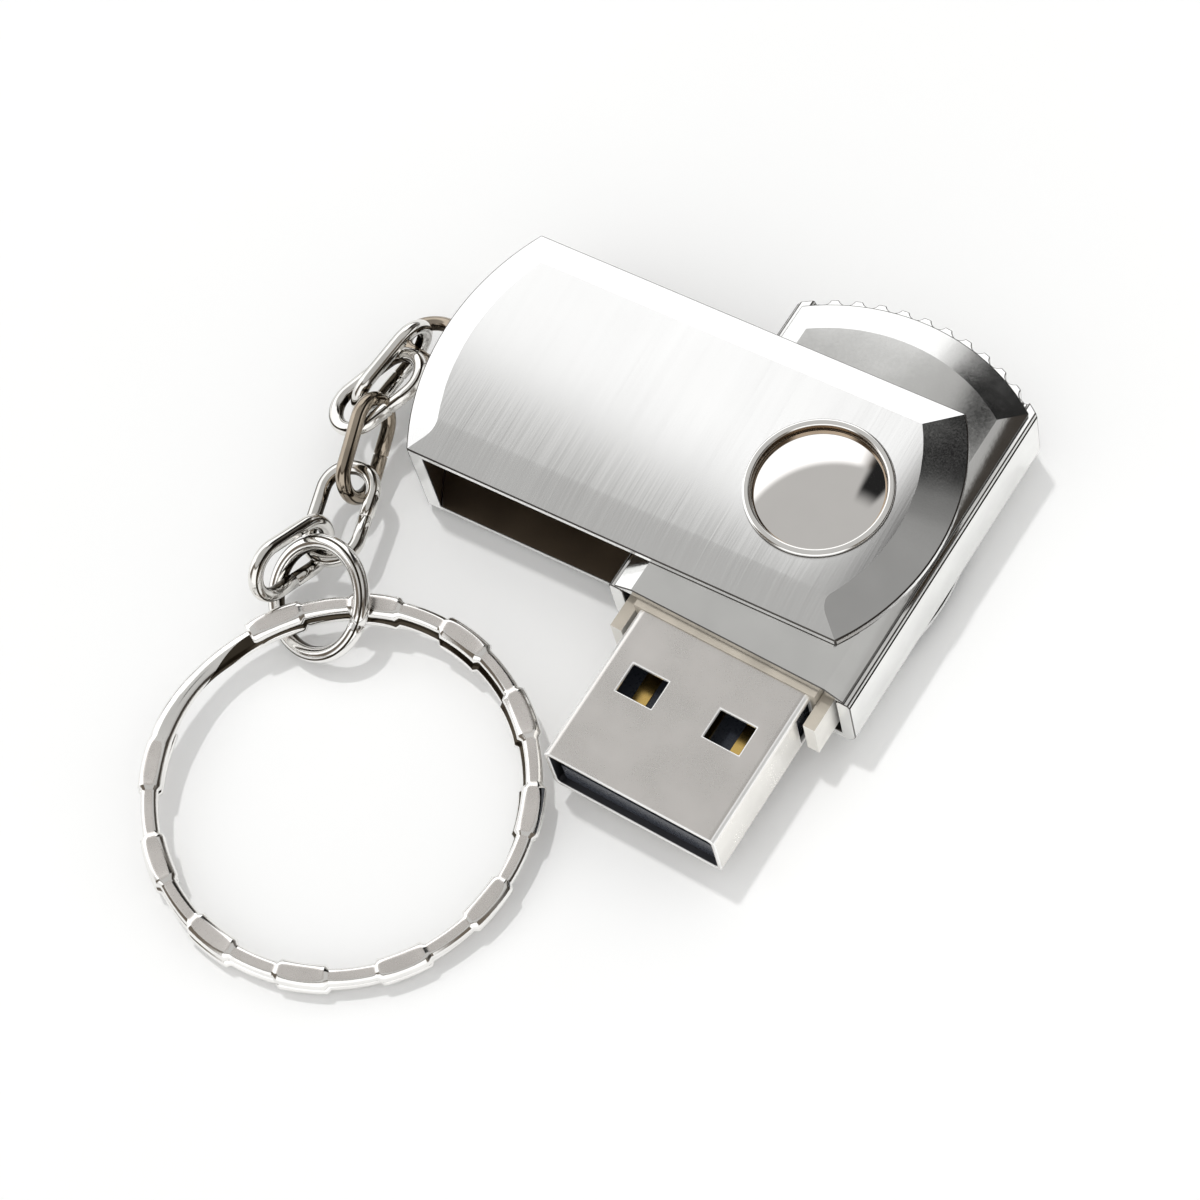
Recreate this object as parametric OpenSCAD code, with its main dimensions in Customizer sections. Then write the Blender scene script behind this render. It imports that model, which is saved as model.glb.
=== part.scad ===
// USB flash drive: a plated metal case with a type-A plug, a swivelling folded-steel
// cover, a short chain of oval links, a small round ring and a split key ring.
// Millimetres. The swivel axis is Z through the origin, the lower pivot rim stands on
// z = 0, the plug points along -Y and the closed end of the cover lies toward -X.

/* [Heights] */
// Height over the two pivot rims
total_height = 8.7; // [8.2:0.1:9.6]
// How far each pivot rim stands proud of its cover plate
rim_proud = 0.25; // [0.2:0.05:0.4]
// Thickness of the cover's sheet
cover_sheet = 0.95; // [0.8:0.05:1.1]
// Gap between each case face and its cover plate
plate_play = 0.05; // [0.03:0.01:0.1]

/* [Swivel cover] */
// Width across the plates
cover_width = 16.8; // [16:0.1:18]
// How far the resting cover is turned from square to the plug, in degrees
cover_yaw = 2.9; // [0:0.1:6]
// Pivot axis to the apex of the closed end
cover_back = 26.6; // [26.2:0.1:28]
// Plan radius of the closed end
cover_back_r = 17.1; // [15:0.1:22]
// Pivot axis to the apex of the open end
cover_front = 8.25; // [7.5:0.05:9]
// Plan radius of the open end
cover_front_r = 14.4; // [12:0.1:20]
// Width of the bevel along both long edges
bevel_side = 1.9; // [1:0.1:2.5]
// Width of the bevel at the closed end
bevel_back = 1.9; // [1:0.1:2.5]
// Width of the bevel at the open end
bevel_front = 2.7; // [1:0.1:3]
// Drop of the bevels from the flat of the plate
bevel_drop = 0.4; // [0.2:0.05:0.5]
// Centre line of the end wall to the inner end of each chain slot
slot_inner = 0.55; // [0.5:0.05:0.8]
// Centre line of the end wall to the outer end of each chain slot
slot_outer = 3.5; // [3.4:0.1:4]
// Height of the chain slots
slot_height = 3.0; // [2.8:0.1:3.2]

/* [Pivot] */
// Radius of the domed caps on the case
pivot_cap_r = 4.08; // [3.5:0.01:4.1]
// Radius of the bore of the cover's rims
pivot_bore_r = 4.15; // [4.1:0.01:4.2]
// Radius of the holes in the cover's plates
pivot_hole_r = 4.4; // [4.3:0.05:4.6]
// Outer radius of the rims' flange
rim_outer_r = 4.65; // [4.6:0.05:5]
// Straight side of each domed cap
cap_side = 0.75; // [0.5:0.05:0.8]
// Rise of each dome above its straight side
cap_rise = 0.45; // [0.2:0.05:0.45]

/* [Case] */
// Half of the case's width
case_half_width = 8.5; // [8.3:0.1:9]
// Half of the lid's width
lid_half_width = 8.05; // [7.8:0.05:8.2]
// Pivot axis to the front of the case
case_front = 10.9; // [10.5:0.1:11.5]
// Pivot axis to the apex of the rounded back
case_back = 13.95; // [13.5:0.05:15]
// Plan radius of the rounded back
case_back_r = 14.6; // [14:0.1:18]
// Wall thickness of the case
case_wall = 0.8; // [0.6:0.1:1]
// Rounding of the case's lower edges
case_round = 1.2; // [0.6:0.1:1.4]
// Thickness of the lid
lid_thickness = 0.7; // [0.65:0.05:0.8]
// Width of the lid's side bevels
lid_bevel = 1.3; // [0.8:0.1:1.6]
// Width of the lid's back bevel
lid_bevel_back = 2.0; // [1:0.1:2.5]
// Drop of the lid's bevels
lid_bevel_drop = 0.6; // [0.3:0.05:0.6]
// Open seam between the lid and the case
seam = 0.12; // [0.05:0.01:0.15]
// Number of grip notches round the back
grip_count = 11; // [7:2:13]
// Angle between grip notches, in degrees
grip_pitch_deg = 5.9; // [5:0.1:6]
// Radius of each grip notch
grip_notch_r = 0.55; // [0.4:0.05:0.6]

/* [Plug] */
// Width of the plug's shell
plug_width = 12; // [11.9:0.05:12.1]
// Height of the plug's shell
plug_height = 4.5; // [4.4:0.05:4.6]
// Sheet thickness of the plug's shell
plug_wall = 0.3; // [0.28:0.01:0.32]
// Pivot axis to the tip of the plug
plug_tip = 22.1; // [21.8:0.1:22.4]
// Pivot axis to the root of the plug's shell
plug_root = 7.6; // [7.6:0.1:8]
// Outer corner radius of the plug's shell
plug_corner = 0.5; // [0.4:0.05:0.7]
// Centre of each shell window from the middle
window_x = 3.075; // [2.9:0.025:3.2]
// Pivot axis to the centre of the shell windows
window_y = 15.6; // [15.2:0.1:16]
// Width of each shell window
window_width = 2.5; // [2.2:0.1:2.6]
// Length of each shell window
window_length = 2.0; // [1.8:0.1:2.2]
// How far the shell's sides are cut back in front of the case
side_notch_length = 2.0; // [1.6:0.1:2.2]
// Width of each contact
contact_width = 1.0; // [0.9:0.05:1.1]
// Thickness of each contact
contact_thick = 0.12; // [0.1:0.01:0.14]

/* [Board] */
// Thickness of the circuit board
board_thick = 0.8; // [0.6:0.1:0.9]
// Half of the board's width
board_half_width = 6.4; // [6:0.1:6.6]
// Pivot axis to the front edge of the board
board_front = 7.5; // [7.4:0.05:7.55]
// Pivot axis to the back edge of the board
board_back = 9.6; // [9:0.1:10]

/* [Chain] */
// Wire diameter of the oval links
link_wire = 0.95; // [0.9:0.01:0.95]
// Centre-line radius of the links' round ends
link_end_r = 1.7; // [1.7:0.01:1.72]
// Half of the straight length between the round ends
link_half_straight = 1.5; // [1.5:0.01:1.52]
// Centre-line radius of the round ring
jump_ring_r = 3.5; // [3.5:0.01:3.52]
// Wire diameter of the round ring
jump_ring_wire = 1.05; // [1:0.01:1.05]

/* [Split ring] */
// Middle radius of the split ring
split_ring_r = 12.05; // [12:0.01:12.05]
// Radial width of each coil
split_coil_width = 1.4; // [1.2:0.05:1.4]
// Height of each coil
split_coil_height = 1.0; // [0.9:0.05:1]
// Angle left open where a coil ends, in degrees
split_end_gap_deg = 7; // [4:1:10]

/* [Hidden] */
$fn = 96;
eps = 0.01;
mid_z = total_height/2;
cover_bottom = rim_proud;
cover_top = total_height - rim_proud;
case_bottom = cover_bottom + cover_sheet + plate_play;
case_top = cover_top - cover_sheet - plate_play;
lid_bottom = case_top - lid_thickness;
case_floor = case_bottom + case_wall;
plug_bottom = mid_z - plug_height/2;
plug_top = mid_z + plug_height/2;
// the tongue fills the lower half of the shell, and the board lies just below its top
tongue_top = mid_z - 0.1;
board_top = tongue_top - 0.15;
board_bottom = board_top - board_thick;
cover_back_x = -(cover_back - cover_back_r);
cover_front_x = cover_front - cover_front_r;
bar_x = -(cover_back - cover_sheet/2);

// how the chain lies: the middle of each link and its turn about X, Y and Z
link_1_at = [-27.5, -1, 4];
link_1_turn = [19, 14, 169];
link_2_at = [-29.75, -3.9, 4.35];
link_2_turn = [-94, 11, -100];
link_3_at = [-29.25, -6, 4.95];
link_3_turn = [16, 13, -116];
link_4_at = [-28.1, -9.4, 4.05];
link_4_turn = [-73, 16, -76];
link_5_at = [-27.25, -13.75, 3.35];
link_5_turn = [6, 4, -74];
link_6_at = [-27.8, -18.1, 4.3];
link_6_turn = [-75, -26, -98];
jump_ring_at = [-25.15, -19.3, 3.35];
jump_ring_turn = [36, -11, -7];
split_ring_at = [-17.15, -29, 2.1];
split_ring_turn = [3.5, 3, 0];
// where the upper coil of the split ring starts, in degrees round the ring
split_upper_start = 150;

// ---------- shared shapes ----------

// disc with a bevelled rim at the top and bottom, widened by a block on its open side
module end_form(centre_x, r, bevel, side) {
    union() {
        translate([centre_x, 0, cover_bottom + bevel_drop])
            cylinder(r = r, h = cover_top - cover_bottom - 2*bevel_drop);
        translate([centre_x, 0, cover_top - bevel_drop])
            cylinder(r1 = r, r2 = r - bevel, h = bevel_drop);
        translate([centre_x, 0, cover_bottom])
            cylinder(r1 = r - bevel, r2 = r, h = bevel_drop);
        translate([side > 0 ? centre_x : centre_x - 60, -20, cover_bottom - 1])
            cube([60, 40, cover_top - cover_bottom + 2]);
    }
}

module cover_envelope() {
    w = cover_width/2;
    intersection() {
        translate([-40, 0, 0]) rotate([90, 0, 90]) linear_extrude(height = 60)
            polygon([[-w, cover_bottom + bevel_drop], [-w + bevel_side, cover_bottom],
                     [w - bevel_side, cover_bottom], [w, cover_bottom + bevel_drop],
                     [w, cover_top - bevel_drop], [w - bevel_side, cover_top],
                     [-w + bevel_side, cover_top], [-w, cover_top - bevel_drop]]);
        end_form(cover_back_x, cover_back_r, bevel_back, 1);
        end_form(cover_front_x, cover_front_r, bevel_front, -1);
    }
}

// slot with rounded ends, cut along X through the closed end
module wall_slot() {
    r = slot_height/2;
    translate([bar_x - 4, slot_inner, mid_z - r]) cube([8, 0.6, slot_height]);
    translate([bar_x - 4, slot_inner + 0.3, mid_z - r])
        cube([8, slot_outer - r - slot_inner - 0.3, slot_height]);
    translate([bar_x - 4, slot_outer - r, mid_z]) rotate([0, 90, 0]) cylinder(r = r, h = 8);
}

module rounded_block(w, h, r) {
    union() {
        square([w - 2*r, h], center = true);
        square([w, h - 2*r], center = true);
        for (sx = [-1, 1], sy = [-1, 1])
            translate([sx*(w/2 - r), sy*(h/2 - r)]) circle(r = r, $fn = 32);
    }
}

module oval_link() {
    for (s = [-1, 1]) {
        translate([s*link_half_straight, 0, 0]) rotate([0, 0, s > 0 ? -90 : 90])
            rotate_extrude(angle = 180) translate([link_end_r, 0]) circle(d = link_wire, $fn = 32);
        translate([-link_half_straight, s*link_end_r, 0]) rotate([0, 90, 0])
            cylinder(d = link_wire, h = 2*link_half_straight, $fn = 32);
    }
}

// ---------- case ----------

// plan of the case: straight sides and front, rounded back, grip notches
module case_plan(half_width, inset) {
    difference() {
        intersection() {
            translate([-half_width, -case_front]) square([2*half_width, case_front + 20]);
            union() {
                translate([0, case_back - case_back_r]) circle(r = case_back_r - inset);
                translate([-20, -30]) square([40, 30 + case_back - case_back_r]);
            }
        }
        for (i = [0 : grip_count - 1]) {
            a = 90 + (i - (grip_count - 1)/2)*grip_pitch_deg;
            translate([(case_back_r + 0.2)*cos(a), case_back - case_back_r + (case_back_r + 0.2)*sin(a)])
                circle(r = grip_notch_r, $fn = 24);
        }
    }
}

module body_lid() {
    w = lid_half_width;
    z0 = lid_bottom;
    color([0.80, 0.80, 0.81])
    intersection() {
        translate([0, 0, z0]) linear_extrude(height = lid_thickness) case_plan(w, 0.45);
        translate([0, 30, 0]) rotate([90, 0, 0]) linear_extrude(height = 60)
            polygon([[-w, z0], [w, z0], [w, case_top - lid_bevel_drop],
                     [w - lid_bevel, case_top], [-w + lid_bevel, case_top],
                     [-w, case_top - lid_bevel_drop]]);
        union() {
            translate([0, case_back - case_back_r, z0])
                cylinder(r = case_back_r - 0.45, h = lid_thickness - lid_bevel_drop);
            translate([0, case_back - case_back_r, case_top - lid_bevel_drop])
                cylinder(r1 = case_back_r - 0.45, r2 = case_back_r - 0.45 - lid_bevel_back, h = lid_bevel_drop);
            translate([-20, -30, z0]) cube([40, 30 + case_back - case_back_r, lid_thickness]);
        }
    }
}

module body_case() {
    w = case_half_width;
    r = case_round;
    top = lid_bottom;
    color([0.82, 0.82, 0.83])
    difference() {
        union() {
            intersection() {
                translate([0, 0, case_bottom]) linear_extrude(height = top - seam - case_bottom) case_plan(w, 0);
                translate([0, 30, 0]) rotate([90, 0, 0]) linear_extrude(height = 60) union() {
                    translate([-w, case_bottom + r]) square([2*w, top - case_bottom - r - 0.3]);
                    translate([-w + r, case_bottom]) square([2*w - 2*r, top - case_bottom]);
                    for (s = [-1, 1]) {
                        translate([s*(w - r), case_bottom + r]) circle(r = r, $fn = 48);
                        translate([s*(w - 0.5), top - 0.5]) circle(r = 0.5, $fn = 32);
                    }
                }
            }
            // inner lip that carries the lid
            translate([0, 0, case_floor - 0.2]) linear_extrude(height = top - case_floor + 0.2) difference() {
                case_plan(lid_half_width - 0.25, 0.75);
                square([2*(case_half_width - case_wall - 0.2), 2*case_front + 2], center = true);
                translate([0, case_back - case_back_r]) circle(r = case_back_r - case_wall - 0.5);
            }
        }
        // hollow
        translate([0, 0, case_floor]) linear_extrude(height = 10) intersection() {
            translate([-w + case_wall + 0.2, -case_front - 1]) square([2*(w - case_wall - 0.2), 40]);
            union() {
                translate([0, case_back - case_back_r]) circle(r = case_back_r - case_wall - 0.5);
                translate([-20, -30]) square([40, 30 + case_back - case_back_r]);
            }
        }
    }
    // board posts
    color([0.82, 0.82, 0.83]) for (sx = [-1, 1], py = [-5.2, 7.8])
        translate([sx*5.4, py, case_floor - 0.1]) cylinder(r = 0.7, h = board_bottom - case_floor + 0.1, $fn = 32);
}

// ---------- plug ----------

module plug_holder() {
    gap = 0.4;
    hw = case_half_width - case_wall - 0.2 - gap;
    color([0.80, 0.72, 0.58])
    difference() {
        union() {
            // block inside the mouth of the case
            translate([-hw, -case_front + 0.6, case_floor]) cube([2*hw, case_front - 0.6 - board_front, lid_bottom - case_floor]);
            // collar round the root of the plug
            translate([-plug_width/2 - 0.35, -case_front - 0.45, plug_bottom])
                cube([plug_width + 0.7, 1.2, lid_bottom - plug_bottom - 0.02]);
            // two ears beside the root
            for (s = [-1, 1]) translate([s > 0 ? plug_width/2 + 0.4 : -plug_width/2 - 1.2, -case_front - side_notch_length, mid_z - 1.7])
                cube([0.8, side_notch_length + 1.0, 3.2]);
        }
        translate([0, -plug_root + 1, mid_z]) rotate([90, 0, 0]) linear_extrude(height = 12)
            rounded_block(plug_width, plug_height, plug_corner);
    }
}

module usb_shell() {
    inner_w = plug_width - 2*plug_wall;
    inner_h = plug_height - 2*plug_wall;
    color([0.72, 0.70, 0.68])
    difference() {
        translate([0, -plug_root, mid_z]) rotate([90, 0, 0]) linear_extrude(height = plug_tip - plug_root) difference() {
            rounded_block(plug_width, plug_height, plug_corner);
            rounded_block(inner_w, inner_h, plug_corner - plug_wall + 0.05);
        }
        // windows above and below
        for (s = [-1, 1]) translate([s*window_x - window_width/2, -window_y - window_length/2, plug_bottom - 1])
            cube([window_width, window_length, plug_height + 2]);
        // side walls cut back at the root
        for (s = [-1, 1]) translate([s > 0 ? plug_width/2 - plug_wall - 0.02 : -plug_width/2 - 1, -case_front - side_notch_length, mid_z - 1.6])
            cube([1 + plug_wall + 0.02, side_notch_length - 0.5, 3.2]);
    }
}

module contact_form(x, grow) {
    translate([x - contact_width/2 - grow, -plug_tip + 1.2, tongue_top])
        cube([contact_width + 2*grow, plug_tip - 1.2 - 6.2, contact_thick]);
    translate([x - contact_width/2, -board_front + 0.1, board_top])
        cube([contact_width, 1.2, tongue_top - board_top]);
}

module usb_tongue() {
    hw = plug_width/2 - plug_wall;
    floor_z = plug_bottom + plug_wall;
    roof_z = plug_top - plug_wall;
    color([0.05, 0.06, 0.10])
    difference() {
        union() {
            translate([-hw + 0.3, -plug_tip + 0.5, floor_z]) cube([2*hw - 0.6, plug_tip - 0.5 - plug_root, tongue_top - floor_z]);
            translate([-hw + 0.3, -case_front - 0.6, tongue_top - 0.01]) cube([2*hw - 0.6, case_front + 0.6 - plug_root, roof_z - tongue_top + 0.01]);
        }
        for (x = [-3.5, -1, 1, 3.5]) contact_form(x, 0);
    }
}

module contact_power() { color([0.83, 0.62, 0.22]) contact_form(-3.5, 0); }
module contact_data_minus() { color([0.83, 0.62, 0.22]) contact_form(-1, 0); }
module contact_data_plus() { color([0.83, 0.62, 0.22]) contact_form(1, 0); }
module contact_ground() { color([0.83, 0.62, 0.22]) contact_form(3.5, 0); }

// ---------- board ----------

module circuit_board() {
    color([0.05, 0.30, 0.16])
    translate([-board_half_width, -board_front, board_bottom])
        cube([2*board_half_width, board_front + board_back, board_thick]);
}
module controller_chip() {
    color([0.08, 0.08, 0.09]) translate([-4.9, -4.8, board_top]) cube([4.8, 4.8, 0.9]);
}
module flash_chip() {
    color([0.09, 0.09, 0.10]) translate([-5.2, 1.3, board_top]) cube([10.4, 7.2, 1.0]);
}
module crystal_can() {
    color([0.75, 0.75, 0.76]) translate([3.1, -2.4, board_top]) cylinder(r = 1.2, h = 1.1, $fn = 48);
}
module filter_capacitor() {
    color([0.62, 0.47, 0.30]) translate([1.3, -5.2, board_top]) cube([1.6, 0.8, 0.7]);
}
module pull_up_resistor() {
    color([0.12, 0.12, 0.13]) translate([3.9, -5.3, board_top]) cube([1.6, 0.8, 0.45]);
}

// ---------- pivot ----------

// dome of the given edge radius and rise, standing on a short cylinder
module cap_form() {
    ball_r = (pivot_cap_r*pivot_cap_r + cap_rise*cap_rise)/(2*cap_rise);
    union() {
        translate([0, 0, case_top]) cylinder(r = pivot_cap_r, h = cap_side);
        intersection() {
            translate([0, 0, case_top + cap_side + cap_rise - ball_r]) sphere(r = ball_r, $fn = 160);
            translate([0, 0, case_top + cap_side - eps]) cylinder(r = pivot_cap_r, h = cap_rise + 1);
        }
    }
}

module pivot_cap_top() { color([0.86, 0.86, 0.87]) cap_form(); }
module pivot_cap_bottom() {
    color([0.86, 0.86, 0.87]) translate([0, 0, total_height]) mirror([0, 0, 1]) cap_form();
}

module rim_form() {
    rotate_extrude() difference() {
        union() {
            translate([pivot_bore_r, cover_top - cover_sheet]) square([pivot_hole_r - pivot_bore_r, cover_sheet + rim_proud]);
            translate([pivot_bore_r, cover_top]) square([rim_outer_r - pivot_bore_r - 0.12, rim_proud]);
            translate([pivot_bore_r, cover_top]) square([rim_outer_r - pivot_bore_r, rim_proud - 0.12]);
            translate([rim_outer_r - 0.12, cover_top + rim_proud - 0.12]) circle(r = 0.12, $fn = 24);
        }
    }
}

module pivot_rim_top() { color([0.90, 0.90, 0.90]) rim_form(); }
module pivot_rim_bottom() {
    color([0.90, 0.90, 0.90]) translate([0, 0, total_height]) mirror([0, 0, 1]) rim_form();
}

// ---------- cover ----------

module swivel_cover() {
    color([0.76, 0.76, 0.77])
    rotate([0, 0, cover_yaw]) difference() {
        cover_envelope();
        // channel between the plates
        intersection() {
            translate([-40, -20, cover_bottom + cover_sheet]) cube([60, 40, cover_top - cover_bottom - 2*cover_sheet]);
            union() {
                translate([cover_back_x, 0, 0]) cylinder(r = cover_back_r - cover_sheet, h = total_height);
                translate([cover_back_x, -20, 0]) cube([60, 40, total_height]);
            }
        }
        translate([0, 0, -1]) cylinder(r = pivot_hole_r, h = total_height + 2);
        wall_slot();
        mirror([0, 1, 0]) wall_slot();
    }
}

// ---------- chain and rings ----------

module placed(at, turn) {
    translate(at) rotate(turn) children();
}

module chain_link_1() { color([0.62, 0.58, 0.52]) placed(link_1_at, link_1_turn) oval_link(); }
module chain_link_2() { color([0.74, 0.73, 0.71]) placed(link_2_at, link_2_turn) oval_link(); }
module chain_link_3() { color([0.80, 0.80, 0.79]) placed(link_3_at, link_3_turn) oval_link(); }
module chain_link_4() { color([0.62, 0.59, 0.54]) placed(link_4_at, link_4_turn) oval_link(); }
module chain_link_5() { color([0.78, 0.78, 0.76]) placed(link_5_at, link_5_turn) oval_link(); }
module chain_link_6() { color([0.78, 0.78, 0.77]) placed(link_6_at, link_6_turn) oval_link(); }

module jump_ring() {
    color([0.78, 0.77, 0.75]) placed(jump_ring_at, jump_ring_turn)
        rotate_extrude() translate([jump_ring_r, 0]) circle(d = jump_ring_wire, $fn = 32);
}

// one open coil with chamfered edges
module coil(z, start) {
    w = split_coil_width;
    h = split_coil_height;
    c = 0.25;
    rotate([0, 0, start]) translate([0, 0, z])
        rotate_extrude(angle = 360 - split_end_gap_deg, $fn = 180) translate([split_ring_r, 0])
            polygon([[-w/2 + c, -h/2], [w/2 - c, -h/2], [w/2, -h/2 + c], [w/2, h/2 - c],
                     [w/2 - c, h/2], [-w/2 + c, h/2], [-w/2, h/2 - c], [-w/2, -h/2 + c]]);
}

module split_ring() {
    color([0.76, 0.75, 0.73]) placed(split_ring_at, split_ring_turn) union() {
        coil(split_coil_height/2 - 0.01, split_upper_start);
        coil(-split_coil_height/2 + 0.01, split_upper_start + 2*split_end_gap_deg);
    }
}

// ---------- what is drawn ----------

body_case();
body_lid();
plug_holder();
usb_shell();
usb_tongue();
contact_power();
contact_data_minus();
contact_data_plus();
contact_ground();
circuit_board();
controller_chip();
flash_chip();
crystal_can();
filter_capacitor();
pull_up_resistor();
pivot_cap_top();
pivot_cap_bottom();
swivel_cover();
pivot_rim_top();
pivot_rim_bottom();
chain_link_1();
chain_link_2();
chain_link_3();
chain_link_4();
chain_link_5();
chain_link_6();
jump_ring();
split_ring();
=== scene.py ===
import bpy, bmesh, math
from mathutils import Vector, Matrix, Euler


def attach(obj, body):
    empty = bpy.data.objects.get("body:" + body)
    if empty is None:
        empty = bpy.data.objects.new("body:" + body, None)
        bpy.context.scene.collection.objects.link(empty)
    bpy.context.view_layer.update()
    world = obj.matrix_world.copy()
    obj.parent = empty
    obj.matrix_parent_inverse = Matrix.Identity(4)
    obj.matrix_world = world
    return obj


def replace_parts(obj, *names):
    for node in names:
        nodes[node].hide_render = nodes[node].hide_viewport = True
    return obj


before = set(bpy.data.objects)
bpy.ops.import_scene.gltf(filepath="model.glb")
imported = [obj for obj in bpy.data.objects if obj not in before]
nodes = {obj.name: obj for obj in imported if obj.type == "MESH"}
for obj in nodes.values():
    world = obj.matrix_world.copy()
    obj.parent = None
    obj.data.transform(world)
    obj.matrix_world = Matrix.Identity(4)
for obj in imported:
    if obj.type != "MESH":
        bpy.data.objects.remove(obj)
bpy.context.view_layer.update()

MM = 0.001
TOTAL = 8.7                      # height over the pivot rims, mm
YAW = math.radians(2.9)          # turn of the cover at rest
WELD = 2e-6                      # points closer than this are one point, m
SOFT_ROLL = 0.7                  # rounding of a softened crease, mm
LINE = 0.12                      # painted edge lines, the dark shade lines and the bright highlight lines, are no wider than this, mm
scene = bpy.context.scene


# ------------------------------------------------------------------ node trees

COLOR_A, COLOR_B, COLOR_OUT = 6, 7, 2      # the colour sockets of a Mix node


class Tree:
    """Short names for making and joining shader nodes."""

    def __init__(self, tree):
        self.tree = tree

    def new(self, kind):
        """A new node. kind is Blender's name for it, without ShaderNode before it."""
        return self.tree.nodes.new("ShaderNode" + kind)

    def link(self, output, socket):
        self.tree.links.new(output, socket)

    def put(self, value, socket):
        """Set a socket from a number, a colour or another node's output."""
        if isinstance(value, tuple):
            socket.default_value = (*value, 1)
        elif isinstance(value, (int, float)):
            socket.default_value = value
        else:
            self.link(value, socket)

    def calc(self, operation, first, second=0.0):
        """The output of a Math node."""
        node = self.new("Math")
        node.operation = operation
        self.put(first, node.inputs[0])
        self.put(second, node.inputs[1])
        return node.outputs[0]

    def mix(self, share, first, second):
        """The first colour where share is 0, and the second where it is 1."""
        node = self.new("Mix")
        node.data_type = "RGBA"
        self.put(share, node.inputs["Factor"])
        self.put(first, node.inputs[COLOR_A])
        self.put(second, node.inputs[COLOR_B])
        return node.outputs[COLOR_OUT]

    def ramp(self, value, low, high, start=0.3, end=0.7, smooth=False):
        """low where value is at its start, high where it is at its end."""
        node = self.new("MapRange")
        if smooth:
            node.interpolation_type = "SMOOTHSTEP"
        for socket, number in (("From Min", start), ("From Max", end), ("To Min", low), ("To Max", high)):
            node.inputs[socket].default_value = number
        self.link(value, node.inputs["Value"])
        return node.outputs["Result"]


class Mat(Tree):
    """A material, with the nodes that feed its one shader."""

    def __init__(self, name, color, metallic, rough):
        self.material = bpy.data.materials.new(name)
        self.material.use_nodes = True
        super().__init__(self.material.node_tree)
        self.shader = self.tree.nodes["Principled BSDF"]
        self.shader.inputs["Base Color"].default_value = (*color, 1)
        self.shader.inputs["Metallic"].default_value = metallic
        self.shader.inputs["Roughness"].default_value = rough
        self.material.diffuse_color = (*color, 1)

    def coords(self, scale=(1, 1, 1), turn=0.0):
        """Object coordinates in mm, turned about Z, then scaled."""
        source = self.new("TexCoord")
        turned = self.new("Mapping")
        turned.inputs["Scale"].default_value = (1 / MM,) * 3
        turned.inputs["Rotation"].default_value = (0, 0, turn)
        self.link(source.outputs["Object"], turned.inputs["Vector"])
        scaled = self.new("Mapping")
        scaled.inputs["Scale"].default_value = scale
        self.link(turned.outputs["Vector"], scaled.inputs["Vector"])
        return scaled.outputs["Vector"]

    def noise(self, scale, detail, rough=0.5, turn=0.0):
        """Noise with `scale` features a mm: one number, or one for each axis."""
        if isinstance(scale, float):
            scale = (scale,) * 3
        node = self.new("TexNoise")
        node.inputs["Scale"].default_value = 1.0
        node.inputs["Detail"].default_value = detail
        node.inputs["Roughness"].default_value = rough
        self.link(self.coords(scale, turn), node.inputs["Vector"])
        return node.outputs["Fac"]

    def blend(self, first, second, share):
        """`share` of the first, and the rest of the second."""
        rest = self.calc("MULTIPLY", second, 1 - share)
        return self.calc("ADD", self.calc("MULTIPLY", first, share), rest)

    def tint(self, value, color, down, up, start=0.3, end=0.7):
        """The shader's colour: from `down` times the given one to `up` times it."""
        node = self.new("ValToRGB")
        for index, place, times in ((0, start, down), (1, end, up)):
            stop = node.color_ramp.elements[index]
            stop.position = place
            stop.color = (*(min(1, part * times) for part in color), 1)
        self.link(value, node.inputs["Fac"])
        self.link(node.outputs["Color"], self.shader.inputs["Base Color"])

    def rough(self, value):
        self.link(value, self.shader.inputs["Roughness"])

    def bump(self, height):
        """height in mm."""
        node = self.new("Bump")
        node.inputs["Distance"].default_value = MM
        node.inputs["Strength"].default_value = 1.0
        self.link(height, node.inputs["Height"])
        self.link(node.outputs["Normal"], self.shader.inputs["Normal"])


# ------------------------------------------------------------------ kinds of material

def crown(mat, turn, along=0.0, y0=0.0, across=0.0, x0=0.0, reach=None, both_sides=False):
    """Height, in mm, of a gently crowned plate. Its slope grows by `along` degrees a mm from y0, up to
    `reach` mm past it, and by `across` degrees a mm from x0, past it only or on both sides of it."""
    place = mat.new("SeparateXYZ")
    mat.link(mat.coords(turn=turn), place.inputs[0])

    def bowl(axis, start, degrees, past_only):
        """Height of a curve along one axis, whose slope grows by so many degrees a mm from its start."""
        away = mat.calc("SUBTRACT", place.outputs[axis], start)
        if past_only:
            away = mat.calc("MAXIMUM", away, 0.0)
        return mat.calc("MULTIPLY", mat.calc("MULTIPLY", away, away), -0.5 * math.radians(degrees))

    height = bowl("Y", y0, along, False)
    if reach:
        height = mat.calc("ADD", height, bowl("Y", y0 + reach, -along, True))
    return mat.calc("ADD", height, bowl("X", x0, across, not both_sides))


def metal(name, color, rough, spread=0.06, vary=0.04, grain=9.0, bump=0.0006, cell=0.35, shape=None,
          metallic=1.0, turn=0.0):
    """Plated or polished metal: faint colour drift, small roughness changes, fine surface grain.
    grain and cell are features a mm, bump is in mm, and shape is the plate's crown."""
    mat = Mat(name, color, metallic, rough)
    fine = mat.noise(grain, 4.0, 0.6)
    broad = mat.noise(cell, 2.0)
    mat.rough(mat.ramp(mat.blend(fine, broad, 0.6), max(0.02, rough - spread), rough + spread))
    mat.tint(broad, color, 1 - vary, 1 + vary)
    height = mat.calc("MULTIPLY", fine, bump)
    if shape:
        height = mat.calc("ADD", height, crown(mat, turn, **shape))
    mat.bump(height)
    return mat.material


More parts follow.
